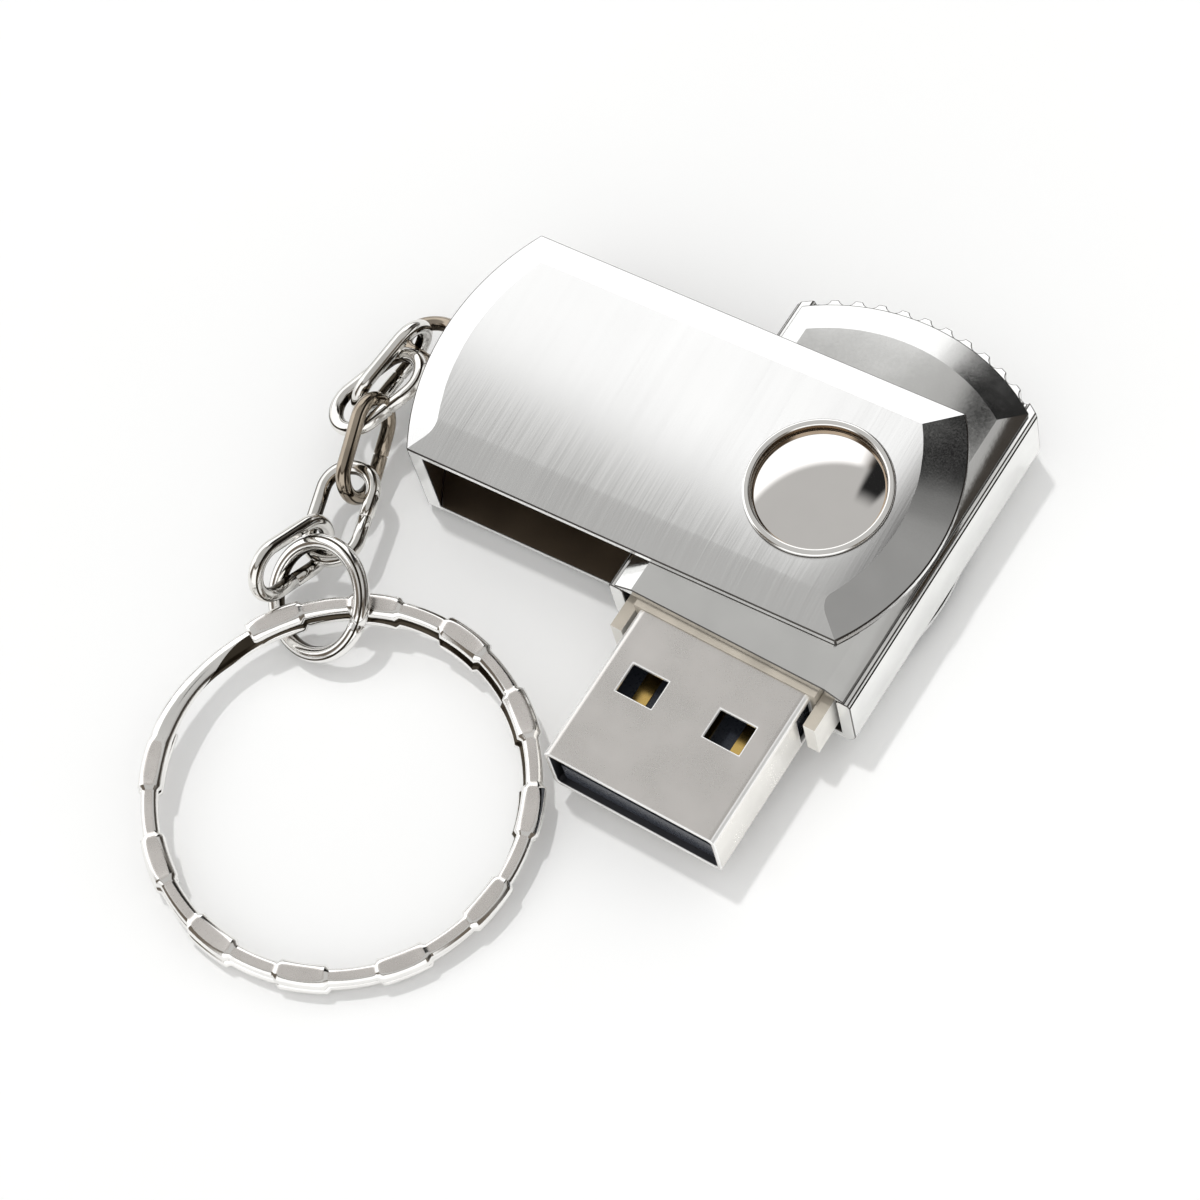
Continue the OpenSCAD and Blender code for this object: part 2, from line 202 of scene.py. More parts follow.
def brushed(name, color, rough, turn, across, along, deep, shape, skew):
    """Steel with fine lines along Y of the turned frame, deep mm deep. The crown is turned by skew more."""
    mat = Mat(name, color, 1.0, rough)
    lines = mat.noise((across, along, 1.0), 5.0, 0.62, turn)
    hair = mat.noise((across * 3.1, along * 1.7, 1.0), 2.0, 0.5, turn)
    broad = mat.noise((0.18, 0.1, 0.2), 1.0, 0.5, turn)
    brush = mat.blend(lines, hair, 0.65)
    mat.rough(mat.ramp(brush, rough - 0.06, rough + 0.06, 0.35, 0.65))
    mat.tint(mat.blend(brush, broad, 0.6), color, 0.94, 1.03, 0.38, 0.62)
    mat.bump(mat.calc("ADD", mat.calc("MULTIPLY", brush, deep), crown(mat, turn + skew, **shape)))
    return mat.material


def plastic(name, color, rough, bump=0.004, grain=6.0, vary=0.06, coat=0.0):
    """Moulded plastic, lacquer or ceramic with a fine grain."""
    mat = Mat(name, color, 0.0, rough)
    mat.shader.inputs["Coat Weight"].default_value = coat
    fine = mat.noise(grain, 4.0, 0.55)
    mat.rough(mat.ramp(fine, max(0.05, rough - 0.08), rough + 0.08))
    mat.tint(mat.noise(0.5, 2.0), color, 1 - vary, 1 + vary)
    mat.bump(mat.calc("MULTIPLY", fine, bump))
    return mat.material


# ------------------------------------------------------------------ materials

# cover
cover_flat = brushed("cover_brushed_steel", (0.755, 0.755, 0.75), 0.20, turn=-YAW, across=11.0, along=0.07,
                     deep=0.0007, skew=math.radians(9.0),
                     shape=dict(along=0.80, y0=-12.1, reach=13.0, across=1.55, x0=2.0))
cover_bevel = metal("cover_polished_bevel", (0.80, 0.80, 0.795), 0.10)
# painted shade: the round end's bevel is a darker copy of the polished bevel
cover_end_shade = metal("cover_end_bevel_painted_shade", (0.50, 0.50, 0.495), 0.10)
# partly painted highlight: the polished sheet edges are a near-white, partly matt copy of the steel, which
# paints a white band on them
cover_edge = metal("cover_polished_edge_painted_highlight", (0.95, 0.95, 0.94), 0.14, metallic=0.6)
# painted shade: the cover's rounded edges are a near-black copy of the steel, drawing dark lines along them
cover_shade_line = metal("cover_edge_painted_shade_line", (0.07, 0.065, 0.06), 0.16)
# painted shade: the channel between the plates and its end wall are a dark brown copy of the steel, standing
# in for the shade inside it
cover_inside_shade = metal("cover_inside_painted_shade", (0.235, 0.185, 0.135), 0.45, bump=0.003)
rim_polish = metal("rim_mirror_polish", (0.90, 0.89, 0.87), 0.07, spread=0.02, bump=0.0002)
rim_inner = metal("rim_bronzed_inner", (0.42, 0.335, 0.25), 0.16, vary=0.2)
rim_line = metal("rim_foot_line", (0.12, 0.11, 0.10), 0.2)

# case and pivot
lid_flat = metal("lid_satin_plate", (0.76, 0.76, 0.75), 0.15, grain=5.0, spread=0.04,
                 shape=dict(along=0.37, across=1.45))
lid_bevel = metal("lid_polished_bevel", (0.78, 0.78, 0.77), 0.14)
lid_roll = metal("lid_rolled_side", (0.78, 0.78, 0.77), 0.13, spread=0.05, grain=5.0, bump=0.004,
                 shape=dict(along=0.30, across=13.0, x0=7.15, both_sides=True), turn=math.radians(-2.6))
case_side = metal("case_satin_plate", (0.92, 0.92, 0.905), 0.20, metallic=0.5)
case_rim = metal("case_back_rim", (0.84, 0.84, 0.83), 0.16, shape=dict(along=0.6))
# painted shade: the rounded edges of the lid and the case are a near-black copy of the plating, drawing dark
# lines along them
case_shade_line = metal("case_edge_painted_shade_line", (0.14, 0.135, 0.13), 0.2)
# painted shade: the tray's hollow and its level inner faces are near-black, standing in for the shade inside
# the case
case_inside_shade = metal("case_inside_painted_shade", (0.05, 0.05, 0.05), 0.5, bump=0.003)
polish = metal("pivot_mirror_polish", (0.82, 0.80, 0.78), 0.035, spread=0.012, vary=0.015, bump=0.0001)

# plug and electronics
plug_plate = metal("plug_warm_nickel", (0.74, 0.715, 0.69), 0.30, grain=12.0, bump=0.00012)
# painted highlight: the shell's sheet edges and rounded edges are a near-white, partly matt copy of the
# nickel, drawing bright lines along them
plug_edge = metal("plug_edge_painted_highlight", (0.97, 0.965, 0.95), 0.14, metallic=0.45)
# painted light: the shell's side walls are a lighter, partly matt copy of the plug's nickel, so they show
# bright
plug_side = metal("plug_side_painted_light_nickel", (0.95, 0.93, 0.89), 0.24, metallic=0.6)
# painted shade: the shell's inner faces are a near-black copy of the nickel, standing in for the shade in the
# plug's mouth
plug_inside_shade = metal("plug_inside_painted_shade", (0.12, 0.12, 0.13), 0.4)
holder_mat = plastic("cream_holder_plastic", (0.50, 0.455, 0.385), 0.45, bump=0.012, grain=7.0, vary=0.12)
ear_mat = plastic("ear_cream_plastic", (0.88, 0.86, 0.81), 0.4)
tongue_mat = plastic("navy_tongue_plastic", (0.035, 0.040, 0.052), 0.3, bump=0.003)
gold_mat = metal("contact_gold", (0.90, 0.62, 0.20), 0.2)
mask_mat = plastic("green_solder_mask", (0.02, 0.18, 0.08), 0.28, coat=0.4)
resin_mat = plastic("chip_resin", (0.03, 0.03, 0.033), 0.5)
can_mat = metal("crystal_can_steel", (0.75, 0.75, 0.76), 0.25)
ceramic_mat = plastic("fired_ceramic", (0.46, 0.32, 0.18), 0.5)

# chain and rings
CAST = dict(spread=0.05, grain=2.5, cell=0.5)
link_mat = metal("link_nickel", (0.78, 0.765, 0.735), 0.09, vary=0.10, bump=0.004, **CAST)
link_warm = metal("link_warm_nickel", (0.38, 0.325, 0.26), 0.12, vary=0.16, bump=0.004, **CAST)
# painted reflection and painted shade: a near-black copy of the wire metal, on fixed faces round each link as
# dark reflection lines, and in the key ring's groove between its turns as shade
wire_reflection_and_groove_shade = metal("wire_painted_reflection_and_shade", (0.055, 0.045, 0.033), 0.16, vary=0.3, bump=0.003, **CAST)
ring_mat = metal("ring_nickel", (0.88, 0.87, 0.85), 0.09, spread=0.04, vary=0.08, cell=0.3, bump=0.002)
facet_mat = metal("ring_stamped_facet", (0.80, 0.765, 0.735), 0.28, vary=0.06, grain=4.0, bump=0.0003)


# ------------------------------------------------------------------ shape helpers

def finish_mesh(name, mesh, mats):
    """Put a mesh in the scene with its materials."""
    for mat in mats:
        mesh.materials.append(mat)
    piece = bpy.data.objects.new(name, mesh)
    scene.collection.objects.link(piece)
    return piece


def made(bm, name, mats):
    """A piece from a bmesh."""
    mesh = bpy.data.meshes.new(name)
    bm.to_mesh(mesh)
    bm.free()
    return finish_mesh(name, mesh, mats)


def apply_all(piece):
    """Turn a piece's modifiers into mesh."""
    graph = bpy.context.evaluated_depsgraph_get()
    mesh = bpy.data.meshes.new_from_object(piece.evaluated_get(graph), preserve_all_data_layers=True,
                                           depsgraph=graph)
    old = piece.data
    piece.modifiers.clear()
    piece.data = mesh
    mesh.name = piece.name
    bpy.data.meshes.remove(old)


def weld(bm):
    """Weld a CAD mesh and join its flat triangles into whole faces."""
    bmesh.ops.remove_doubles(bm, verts=bm.verts, dist=WELD)
    bmesh.ops.dissolve_limit(bm, angle_limit=math.radians(0.5), verts=bm.verts, edges=bm.edges)
    bmesh.ops.dissolve_degenerate(bm, dist=WELD, edges=bm.edges)


def mark_sharp(bm, crease):
    """Keep shallow creases of over `crease` degrees crisp: where the material changes, or between plates."""
    for edge in bm.edges:
        if len(edge.link_faces) == 2 and edge.calc_face_angle(0.0) > math.radians(crease):
            one, other = edge.link_faces
            both_level = min(abs(one.normal.z), abs(other.normal.z)) > 0.5
            if one.material_index != other.material_index or both_level:
                edge.smooth = False


def thin_lines(mesh, line_index):
    """Painted edge lines, dark shade lines and bright highlight lines alike, stay thin: the wide faces that
    rounding makes at tight corners get the main material.
    """
    for face in mesh.polygons:
        if face.material_index == line_index:
            corners = [mesh.vertices[i].co for i in face.vertices]
            longest = max((a - b).length for a, b in zip(corners, corners[1:] + corners[:1]))
            if face.area > LINE * MM * longest:
                face.material_index = 0


def detail(node, name, mats, pick, width, body, slot, segs=3, edge=-1, angle=30.0, crease=0.0, soften=None,
           clamp=True):
    """A copy of a CAD node with edges rounded by width mm, within the node's own box.
    pick(normal, centre) in mm gives each face's material index. edge is the rounded edges' index, and -1
    leaves them their neighbours' material.
    soften(edge) says which creases become a soft roll."""
    mesh = nodes[node].data.copy()
    mesh.materials.clear()
    mesh.name = name
    box = [(min(v.co[k] for v in mesh.vertices), max(v.co[k] for v in mesh.vertices)) for k in range(3)]
    bm = bmesh.new()
    bm.from_mesh(mesh)
    weld(bm)
    if soften:
        soft = [e for e in bm.edges if len(e.link_faces) == 2 and soften(e)]
        bmesh.ops.bevel(bm, geom=soft, offset=SOFT_ROLL * MM, segments=5, profile=0.5, affect="EDGES",
                        clamp_overlap=False)
    bm.normal_update()
    for face in bm.faces:
        face.smooth = True
        face.material_index = pick(face.normal, face.calc_center_median() / MM)
    if crease:
        mark_sharp(bm, crease)
    bm.to_mesh(mesh)
    bm.free()
    if mesh.attributes.get("custom_normal"):
        mesh.attributes.remove(mesh.attributes["custom_normal"])
    piece = finish_mesh(name, mesh, mats)
    bevel = piece.modifiers.new("round", "BEVEL")
    bevel.width = width * MM
    bevel.segments = segs
    bevel.limit_method = "ANGLE"
    bevel.angle_limit = math.radians(angle)
    bevel.harden_normals = True
    bevel.use_clamp_overlap = clamp
    bevel.material = edge
    flatten = piece.modifiers.new("flat", "WEIGHTED_NORMAL")
    flatten.keep_sharp = True
    apply_all(piece)
    for vertex in piece.data.vertices:
        vertex.co = [min(max(vertex.co[k], box[k][0]), box[k][1]) for k in range(3)]
    thin_lines(piece.data, edge)
    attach(piece, body)
    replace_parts(piece, node)


def lathe(name, profile, mats, strips=None, seg=256):
    """profile: (r, z) in mm, turned about Z. A zero radius closes the pole.
    strips gives the material index of each strip between two points, or all have the first material."""
    bm = bmesh.new()
    turns = [2 * math.pi * i / seg for i in range(seg)]
    rows = []
    for r, z in profile:
        if r == 0:
            rows.append([bm.verts.new((0, 0, z * MM))])
        else:
            rows.append([bm.verts.new((r * MM * math.cos(t), r * MM * math.sin(t), z * MM)) for t in turns])
    for k in range(len(rows) - 1):
        a, b = rows[k], rows[k + 1]
        for i in range(seg):
            j = (i + 1) % seg
            corners = [a[i % len(a)], a[j % len(a)], b[j % len(b)], b[i % len(b)]]
            face = bm.faces.new(list(dict.fromkeys(corners)))
            face.smooth = True
            face.material_index = strips[k] if strips else 0
    bmesh.ops.recalc_face_normals(bm, faces=bm.faces)
    return made(bm, name, mats)


def arc(cx, cz, r, a0, a1, n):
    """n + 1 points of an arc from a0 to a1 degrees."""
    turns = [math.radians(a0 + (a1 - a0) * i / n) for i in range(n + 1)]
    return [(cx + r * math.cos(t), cz + r * math.sin(t)) for t in turns]


def flipped(profile):
    """The same profile on the underside."""
    return [(r, TOTAL - z) for r, z in profile]


# ------------------------------------------------------------------ cover

# a face is level where its normal's z is over FLAT, and upright where it is under STEEP
FLAT, STEEP = 0.995, 0.2
# the plates' outer faces, and the edges of their sheet, are higher than this over the other side's rim, mm
PLATE_FACE, PLATE_SHEET = 8.25, 8.0


def in_cover(v):
    """x and y in the cover's own frame."""
    return v.x * math.cos(YAW) + v.y * math.sin(YAW), -v.x * math.sin(YAW) + v.y * math.cos(YAW)


def cover_pick(normal, centre):
    """Which of the cover's materials a face has."""
    flat, bevel, edge, inside, end = range(5)
    x, y = in_cover(centre)
    facing = in_cover(normal)[0]
    height = max(centre.z, TOTAL - centre.z)
    outward = normal.z if centre.z > TOTAL / 2 else -normal.z
    # level faces that are not a plate's outer side face the channel, and get its painted shade
    if abs(normal.z) > FLAT:
        return flat if height > PLATE_FACE and outward > 0 else inside
    if abs(normal.z) > 0.5:
        on_near_roll = centre.z > TOTAL / 2 and y < -6.0 and x < 4.0 and normal.y < -0.1
        # the round end's bevel gets the darker painted shade
        at_round_end = x > 3.0 and facing > 0.1
        if on_near_roll:
            return flat
        return end if at_round_end else bevel
    # upright sheet edges get the partly painted highlight
    if height > PLATE_SHEET and abs(normal.z) < STEEP:
        return edge
    # the end wall's inner face gets the channel's painted shade too
    within_end_wall = x < -15 and facing > 0.5
    return inside if within_end_wall else edge


def near_crease(edge):
    """The long edge between the top plate and its near bevel, and its twin below."""
    mid = (edge.verts[0].co + edge.verts[1].co) / 2 / MM
    if max(mid.z, TOTAL - mid.z) < 8.3 or in_cover(mid)[1] > -5.5:
        return False
    slope, flat = sorted(abs(face.normal.z) for face in edge.link_faces)
    return flat > 0.999 and 0.9 < slope < FLAT and edge.calc_length() > 8 * MM


# its rounded edges get the near-black painted shade lines
detail("swivel_cover", "cover_folded_steel",
       [cover_flat, cover_bevel, cover_edge, cover_inside_shade, cover_end_shade, cover_shade_line], cover_pick, 0.09,
       "cover", "cover_steel", segs=2, edge=5, clamp=False, crease=4.5, soften=near_crease)


def rim(name, flip):
    """Rolled rim round the hole: bronzed bore, polished lip, dark line where it meets the plate."""
    bore, wall, foot, deep = 4.16, 4.38, 4.645, 7.55
    inner = [(bore, deep), (bore, 8.25), (bore + 0.01, 8.35)]
    lip = arc(4.30, 8.57, 0.13, 200, 90, 8) + arc(4.47, 8.52, 0.18, 90, -10, 12)
    under = [(foot, 8.46), (wall, 8.40), (wall, deep), (bore, deep)]
    profile = inner + lip + under
    polished, bronzed, line = range(3)
    strips = [bronzed] * 5 + [polished] * (len(profile) - 11) + [line] * 5
    piece = lathe(name, flipped(profile) if flip else profile, [rim_polish, rim_inner, rim_line], strips)
    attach(piece, "cover")
    return piece


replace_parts(rim("pivot_rim_upper", False), "pivot_rim_top")
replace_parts(rim("pivot_rim_lower", True), "pivot_rim_bottom")


def dome(name, flip):
    """Pivot cap: a short straight side under a shallow ball."""
    r, base, side, rise = 4.08, 7.45, 0.75, 0.45
    steps = 36
    ball = (r * r + rise * rise) / (2 * rise)
    crest = base + side + rise
    spread = math.asin(r / ball)
    profile = [(0, base), (r, base), (r, base + side - 0.02)]
    for i in range(steps):
        t = spread * (1 - i / steps)
        profile.append((ball * math.sin(t), crest - ball + ball * math.cos(t)))
    profile.append((0, crest))
    piece = lathe(name, flipped(profile) if flip else profile, [polish])
    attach(piece, "drive")
    return piece


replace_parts(dome("pivot_dome_upper", False), "pivot_cap_top")
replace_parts(dome("pivot_dome_lower", True), "pivot_cap_bottom")


# ------------------------------------------------------------------ case and lid

def lid_pick(normal, centre):
    """Which of the lid's materials a face has."""
    flat, bevel, roll = range(3)
    if normal.z > FLAT:
        return flat
    return roll if normal.z > 0.5 and normal.x > 0.3 else bevel


# its rounded edges get the near-black painted shade lines
detail("body_lid", "case_lid_plate", [lid_flat, lid_bevel, lid_roll, case_shade_line], lid_pick, 0.07,
       "drive", "lid_plating", edge=3, angle=32, crease=4.5, clamp=False)


def case_pick(normal, centre):
    """Which of the case's materials a face has."""
    side, inside, rim_top = range(3)
    level = abs(normal.z) > 0.9 and 2.0 < centre.z < 6.0
    hollow = abs(centre.x) < 7.6 and -10.8 < centre.y < 12 and 1.9 < centre.z < 6.5
    grip = centre.y > 9.0 and normal.y > -0.1
    # the hollow and its level inner faces get the painted shade
    if level or (hollow and not grip):
        return inside
    return rim_top if normal.z > 0.9 and centre.z > 6.0 and centre.y > 6 else side


# its rounded edges get the near-black painted shade lines
detail("body_case", "case_tray", [case_side, case_inside_shade, case_rim, case_shade_line], case_pick, 0.06,
       "drive", "case_plating", segs=2, edge=3, angle=40, clamp=False)


# ------------------------------------------------------------------ plug

def holder_pick(normal, centre):
    """Which of the holder's materials a face has."""
    moulding, ear = range(2)
    return ear if centre.y < -11.4 else moulding


detail("plug_holder", "holder_moulding", [holder_mat, ear_mat], holder_pick, 0.06,
       "drive", "plug_holder", segs=2)


def shell_pick(normal, centre):
    """Which of the plug's materials a face has."""
    plate, side, edge, inside = range(4)
    if (normal.z > 0.9 and centre.z > 6.5) or (normal.z < -0.9 and centre.z < 2.2):
        return plate
    # the side walls get the lighter copy that paints light on them
    if abs(normal.x) > 0.9 and abs(centre.x) > 5.9:
        return side
    front = normal.y < -0.9 and centre.y < -22
    # the shell's inner faces get the painted shade
    return inside if abs(centre.x) < 5.75 and 2.35 < centre.z < 6.35 and not front else edge


# its rounded edges get the painted highlight lines
detail("usb_shell", "plug_shell", [plug_plate, plug_side, plug_edge, plug_inside_shade], shell_pick, 0.09,
       "drive", "plug_shell", segs=2, edge=2, angle=40, clamp=False)

NODE_MATERIALS = {
    "usb_tongue": tongue_mat,
    "contact_power": gold_mat,
    "contact_data_minus": gold_mat,
    "contact_data_plus": gold_mat,
    "contact_ground": gold_mat,
    "circuit_board": mask_mat,
    "controller_chip": resin_mat,
    "flash_chip": resin_mat,
    "crystal_can": can_mat,
    "filter_capacitor": ceramic_mat,
    "pull_up_resistor": resin_mat,
}
for node, mat in NODE_MATERIALS.items():
    nodes[node].data.materials.clear()
    nodes[node].data.materials.append(mat)


# ------------------------------------------------------------------ chain and jump ring

AROUND = 24                                        # faces round a wire
DARK_REFLECTION_FACES = (3, 10, 11, 12, 13, 19, 20)            # the ones among them painted near-black all along the wire: painted reflection lines
SEAM = ((-0.07, 0.0), (-0.035, 0.07), (0.035, 0.07), (0.07, 0.0))   # butt joint: along the wire, depth, mm
END_R, HALF, LINK_WIRE = 1.7, 1.5, 0.95            # link: end radius, half the straight run, wire, mm
LINKS = (                                          # place in mm and turn in degrees, from the cover outwards
    ((-27.5, -1, 4), (19, 14, 169)),
    ((-29.75, -3.9, 4.35), (-94, 11, -100)),
    ((-29.25, -6, 4.95), (16, 13, -116)),
    ((-28.1, -9.4, 4.05), (-73, 16, -76)),
    ((-27.25, -13.75, 3.35), (6, 4, -74)),
    ((-27.8, -18.1, 4.3), (-75, -26, -98)),
)
WARM_LINKS = (1, 4)                                # the browner ones
JUMP_R, JUMP_WIRE = 3.5, 1.05                      # jump ring: radius to the wire's middle, wire, mm
JUMP_PLACE = ((-25.15, -19.3, 3.35), (36, -11, -7))


def placed(at, turn):
    """The matrix that puts a flat shape at its place, in mm, turned by degrees about X, Y and Z."""
    return Matrix.Translation(Vector(at)) @ Euler([math.radians(v) for v in turn]).to_matrix().to_4x4()


def sweep(name, rings, mats, place, index, closed=True):
    """Skin round a list of sections, in mm, that have the same number of points.
    index(i, j) gives the material of face j of the strip after section i."""
    bm = bmesh.new()
    rows = [[bm.verts.new((place @ Vector(q)) * MM) for q in ring] for ring in rings]
    count = len(rows[0])
    for i in range(len(rows) if closed else len(rows) - 1):
        a, b = rows[i], rows[(i + 1) % len(rows)]
        for j in range(count):
            k = (j + 1) % count
            face = bm.faces.new((a[j], a[k], b[k], b[j]))
            face.smooth = True
            face.material_index = index(i, j)
    if not closed:
        bm.faces.new(rows[0])
        bm.faces.new(rows[-1])
    bmesh.ops.recalc_face_normals(bm, faces=bm.faces)
    return made(bm, name, mats)


def wire(name, path, radius, place, mat, body):
    """Round wire along a closed flat path of (x, y, outward angle, shrink) stations, in mm and radians."""
    turns = [2 * math.pi * k / AROUND for k in range(AROUND)]
    rings = []
    for x, y, out, less in path:
        r = radius - less
        flat = [(r * math.cos(t), r * math.sin(t)) for t in turns]
        rings.append([(x + d * math.cos(out), y + d * math.sin(out), z) for d, z in flat])
    # the listed faces round the wire get the painted reflection lines all along it
    piece = sweep(name, rings, [mat, wire_reflection_and_groove_shade], place, lambda i, j: 1 if j in DARK_REFLECTION_FACES else 0)
    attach(piece, body)
    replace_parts(piece, body)


def link_path(steps=28):
    """An oval: a half turn at each end, with the seam in the middle of one straight run."""
    path = []
    for side in (1, -1):
        for i in range(steps + 1):
            t = (0.0 if side > 0 else math.pi) - math.pi / 2 + math.pi * i / steps
            path.append((side * HALF + END_R * math.cos(t), END_R * math.sin(t), t, 0.0))
        if side > 0:
            path += [(-d, END_R, math.pi / 2, less) for d, less in SEAM]
    return path


def jump_path(steps=120):
    """A full circle that starts at its seam."""
    turns = [(d / JUMP_R, less) for d, less in SEAM]
    turns += [(2 * math.pi * i / steps, 0.0) for i in range(3, steps - 2)]
    return [(JUMP_R * math.cos(t), JUMP_R * math.sin(t), t, less) for t, less in turns]


for i, link_place in enumerate(LINKS, 1):
    wire("link_wire_%d" % i, link_path(), LINK_WIRE / 2, placed(*link_place),
         link_warm if i in WARM_LINKS else link_mat, "chain_link_%d" % i)
wire("jump_ring_wire", jump_path(), JUMP_WIRE / 2, placed(*JUMP_PLACE), ring_mat, "jump_ring")


# ------------------------------------------------------------------ split ring

# flat stamped wire wound nearly twice round, with a ramp from the upper turn to the lower one
SPLIT_PLACE = ((-17.15, -29, 2.1), (3.5, 3, 0))    # place in mm and turn in degrees
COIL_R, COIL_Z = 11.97, 0.49     # middle of the wire, and each turn's height from the middle, mm
START = 152.0                    # where the upper turn's free end is, degrees
UPPER, RAMP, WHOLE = 322.0, 38.0, 682.0            # length of the upper turn, the ramp and the whole, degrees
PITCH, FIRST, HALF_FACET = 15.0, 9.5, 7.0          # stamped facets, degrees along the wire
CLEAR = 8.0                      # no facet lies closer than this to the ramp or the end, degrees
FACET_STEPS = (-1, -0.88, -0.7, -0.4, 0, 0.4, 0.7, 0.88, 1)   # sections along a facet, closer at its ends
TOP_POINTS, REST_POINTS = 7, 19  # points on a section's flat side, and round the rest
GROOVE = range(TOP_POINTS + 8, TOP_POINTS + 13)    # its faces between the two turns, painted dark: painted shade in the groove
SHIFT_WAY = math.radians(45)     # the turns lie a little off each other, along this direction
LOWER_SHIFT, UPPER_SHIFT = 0.35, 0.2               # by at most this much each, mm
# the wire's half width and half heights over and under its middle: plain, and on both kinds of facet, mm
PLAIN_WIRE, WIDE_WIRE, NARROW_WIRE = (0.74, 0.48, 0.47), (0.78, 0.56, 0.48), (0.54, 0.42, 0.47)
END_SIZE, RAMP_SLIM = 0.93, 0.12                   # size of the wire's ends, and how much slimmer the ramp is


def section(a, top, low, flat, lead=0.0):
    """Flattened oval: half width a, half heights top and low, cut flat at a height, or not if flat is 0.
    lead turns it along the wire's ramp."""
    half = math.acos(min(1.0, flat / top)) if flat else 0.35
    points = []
    for k in range(TOP_POINTS):
        q = k / (TOP_POINTS - 1)
        if flat:
            points.append((a * math.sin(half) * (1 - 2 * q), flat))
        else:
            t = math.pi / 2 - half + 2 * half * q
            points.append((a * math.cos(t), top * math.sin(t)))
    for k in range(1, REST_POINTS + 1):
        t = math.pi / 2 + half + (2 * math.pi - 2 * half) * k / (REST_POINTS + 1)
        y = math.sin(t)
        points.append((a * math.cos(t), (top if y > 0 else low) * y))
    c, s = math.cos(lead), math.sin(lead)
    return [(x * c + z * s * a / top, -x * s * top / a + z * c) for x, z in points]


def plain_station(m):
    """The wire between its facets, at its ends and along the ramp."""
    q = min(1.0, max(0.0, (m - UPPER) / RAMP))
    q = q * q * (3 - 2 * q)
    size = (END_SIZE if m in (0.0, WHOLE) else 1.0) * (1 - RAMP_SLIM * math.sin(math.pi * q))
    a, top, low = (size * part for part in PLAIN_WIRE)
    return m, COIL_Z * (1 - 2 * q), section(a, top, low, 0.0, math.pi * q)


def facet_station(m, e):
    """The wire on the facet whose middle is at m, where e goes from -1 to 1 over the facet's length.
    Wide and narrow facets take turns."""
    if round((m - FIRST) / PITCH) % 2 == 0:
        sec = section(*WIDE_WIRE, 0.455 + 0.075 * abs(e) ** 3)
    else:
        sec = section(*NARROW_WIRE, 0.365 + 0.02 * e ** 4)
    if m > UPPER:
        return m + e * HALF_FACET, -COIL_Z, [(-x, -z) for x, z in sec]
    return m + e * HALF_FACET, COIL_Z, sec


def has_facet(m):
    """Whether a facet with its middle at m clears the ramp and the end."""
    return m < UPPER - CLEAR or UPPER + RAMP + CLEAR < m < WHOLE - CLEAR


def coil_ring(v, z, sec):
    """A section at its place round the ring."""
    t = math.radians(START - v)
    lower = (1 - z / COIL_Z) / 2
    lean = math.cos(t - SHIFT_WAY)
    r = COIL_R - LOWER_SHIFT * lower * (1 + lean) / 2 - UPPER_SHIFT * (1 - lower) * (1 - lean) / 2
    return [((r + x) * math.cos(t), (r + x) * math.sin(t), z + h) for x, h in sec]


middles = [m for m in (FIRST + PITCH * k for k in range(int(WHOLE / PITCH))) if has_facet(m)]
plain = [0.0, 0.8, WHOLE - 0.8, WHOLE] + [UPPER - 4 + 2.0 * k for k in range(23)]
stations, facet = [], []         # facet: the middle of the facet that a station is on
for m in sorted(middles + plain):
    if m in plain:
        stations.append(plain_station(m))
        facet.append(None)
    else:
        stations += [facet_station(m, e) for e in FACET_STEPS]
        facet += [m] * len(FACET_STEPS)


def ring_index(i, j):
    """Which of the key ring's materials face j after station i has."""
    wire_face, facet_face, dark = range(3)
    # the groove between the turns gets the painted shade
    if j in GROOVE:
        return dark
    stamped = j < TOP_POINTS - 1 and facet[i] is not None and facet[i] == facet[i + 1]
    return facet_face if stamped else wire_face


split = sweep("split_ring_coils", [coil_ring(*s) for s in stations], [ring_mat, facet_mat, wire_reflection_and_groove_shade],
              placed(*SPLIT_PLACE), ring_index, closed=False)
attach(split, "split_ring")
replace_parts(split, "split_ring")


# ------------------------------------------------------------------ floor

floor_mat = Mat("studio_floor", (0.93, 0.93, 0.925), 0.0, 0.6)
floor_mat.shader.inputs["Specular IOR Level"].default_value = 0.2
floor_mat.tint(floor_mat.noise(0.02, 2.0), (0.9325, 0.9325, 0.9275), 0.992, 1.008)
bm = bmesh.new()
bmesh.ops.create_grid(bm, x_segments=8, y_segments=8, size=3.0)
floor = made(bm, "studio_floor", [floor_mat.material])
floor.location = (0, 0, -0.02 * MM)


# ------------------------------------------------------------------ surround and lights

# Reflections see a studio with panels. Matt surfaces get an even, pale surround.
EVEN = (0.30, 0.30, 0.298)
OVERHEAD = (0.58, 0.575, 0.565)
BETWEEN_PANELS = (0.16, 0.135, 0.11)
DARK_PANEL = (0.02, 0.02, 0.02)
# each panel's middle, half width and soft edge in azimuth, the elevations where it is not there yet and
# where it is full, in degrees, and its colour
PANELS = (
    (160.0, 56.0, 5.0, None, (1.42, 1.42, 1.42)),                # wide white panel, back left
    (38.0, 38.0, 8.0, None, (0.50, 0.495, 0.485)),               # grey panel, right
    (38.0, 38.0, 8.0, (42.0, 36.0), (0.06, 0.052, 0.045)),       # its dark foot
    (-70.0, 42.0, 8.0, (48.0, 42.0), (1.25, 1.25, 1.25)),        # white card, front
    (125.0, 50.0, 6.0, (12.0, 7.0), (0.30, 0.30, 0.30)),         # dark foot of the white panel
)
world = bpy.data.worlds.new("studio")
scene.world = world
world.use_nodes = True
sky = Tree(world.node_tree)
direction = sky.new("SeparateXYZ")
sky.link(sky.new("TexCoord").outputs["Generated"], direction.inputs[0])
DEGREES = 180 / math.pi
azimuth = sky.calc("MULTIPLY", sky.calc("ARCTAN2", direction.outputs["Y"], direction.outputs["X"]), DEGREES)
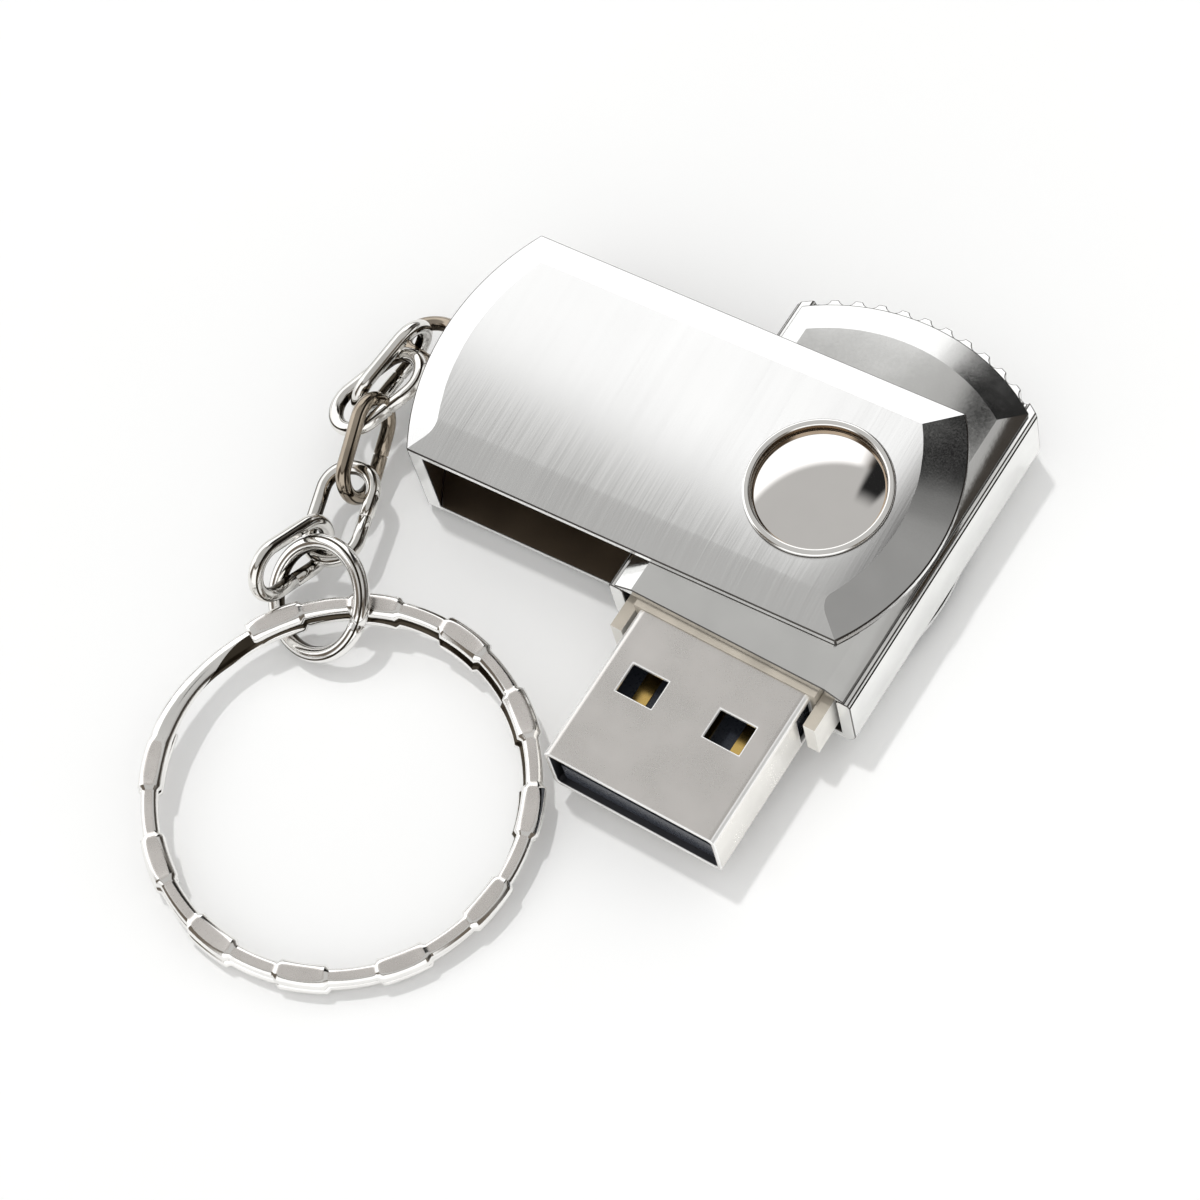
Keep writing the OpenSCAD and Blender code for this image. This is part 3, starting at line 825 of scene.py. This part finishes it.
elevation = sky.calc("MULTIPLY", sky.calc("ARCSINE", direction.outputs["Z"]), DEGREES)


def fade(none, full):
    """0 at the first elevation and beyond, 1 at the second, in degrees."""
    return sky.ramp(elevation, 0.0, 1.0, none, full, smooth=True)


def within(middle, half, soft):
    """1 inside a span of azimuth, in degrees, 0 outside."""
    away = sky.calc("ABSOLUTE", sky.calc("SUBTRACT", azimuth, middle))
    away = sky.calc("MINIMUM", away, sky.calc("SUBTRACT", 360.0, away))
    return sky.ramp(away, 0.0, 1.0, half + soft, half - soft, smooth=True)


panels = BETWEEN_PANELS
for middle, half, soft, span, color in PANELS:
    share = within(middle, half, soft)
    if span:
        share = sky.calc("MULTIPLY", share, fade(*span))
    panels = sky.mix(share, panels, color)
studio = sky.mix(fade(54.0, 50.5), OVERHEAD, panels)
# a dark panel behind, narrow at its top and wider lower down, that ends over the floor
dark_high = sky.calc("MULTIPLY", within(93.0, 8.0, 2.5), fade(69.0, 60.5))
dark_low = sky.calc("MULTIPLY", within(92.0, 12.0, 3.0), fade(46.0, 40.0))
dark = sky.calc("MULTIPLY", sky.calc("MAXIMUM", dark_high, dark_low), fade(12.0, 20.0))
studio = sky.mix(dark, studio, DARK_PANEL)
ray = sky.new("LightPath")
background = sky.tree.nodes["Background"]
sky.link(sky.mix(ray.outputs["Is Glossy Ray"], EVEN, studio), background.inputs["Color"])
background.inputs["Strength"].default_value = 1.0


def sun(name, energy, angle, towards):
    """A sun that reflections don't see. angle is how wide it is, in degrees."""
    light = bpy.data.lights.new(name, "SUN")
    light.energy = energy
    light.angle = math.radians(angle)
    lamp = bpy.data.objects.new(name, light)
    scene.collection.objects.link(lamp)
    lamp.visible_glossy = False
    lamp.rotation_euler = Vector(towards).to_track_quat("-Z", "Y").to_euler()


sun("key", 0.85, 3.0, (0.216, -0.11, -1.0))
sun("fill", 1.95, 150.0, (-0.43, 0.37, -0.82))     # from the camera's side


# ------------------------------------------------------------------ camera

AZIMUTH, ELEVATION, ROLL = math.radians(49.11), math.radians(62.95), math.radians(-18.4)
DISTANCE = 234.655               # from the target, mm
TARGET = Vector((-10.728, -9.986, 0.45))           # mm
LENS, SENSOR = 113.54625, 36.0   # focal length and sensor width, mm
back = Vector((math.sin(AZIMUTH) * math.cos(ELEVATION), -math.cos(AZIMUTH) * math.cos(ELEVATION),
               math.sin(ELEVATION)))
right = (-back).cross(Vector((0, 0, 1))).normalized()
up = right.cross(-back)
rolled_right = right * math.cos(ROLL) + up * math.sin(ROLL)
rolled_up = -right * math.sin(ROLL) + up * math.cos(ROLL)
view = bpy.data.cameras.new("camera")
view.sensor_width = SENSOR
view.lens = LENS
view.clip_start = 0.01
view.clip_end = 20.0
camera = bpy.data.objects.new("camera", view)
scene.collection.objects.link(camera)
pose = Matrix((rolled_right, rolled_up, back)).transposed().to_4x4()
pose.translation = (TARGET + back * DISTANCE) * MM
camera.matrix_world = pose
scene.camera = camera
scene.view_settings.view_transform = "Standard"
scene.view_settings.look = "None"
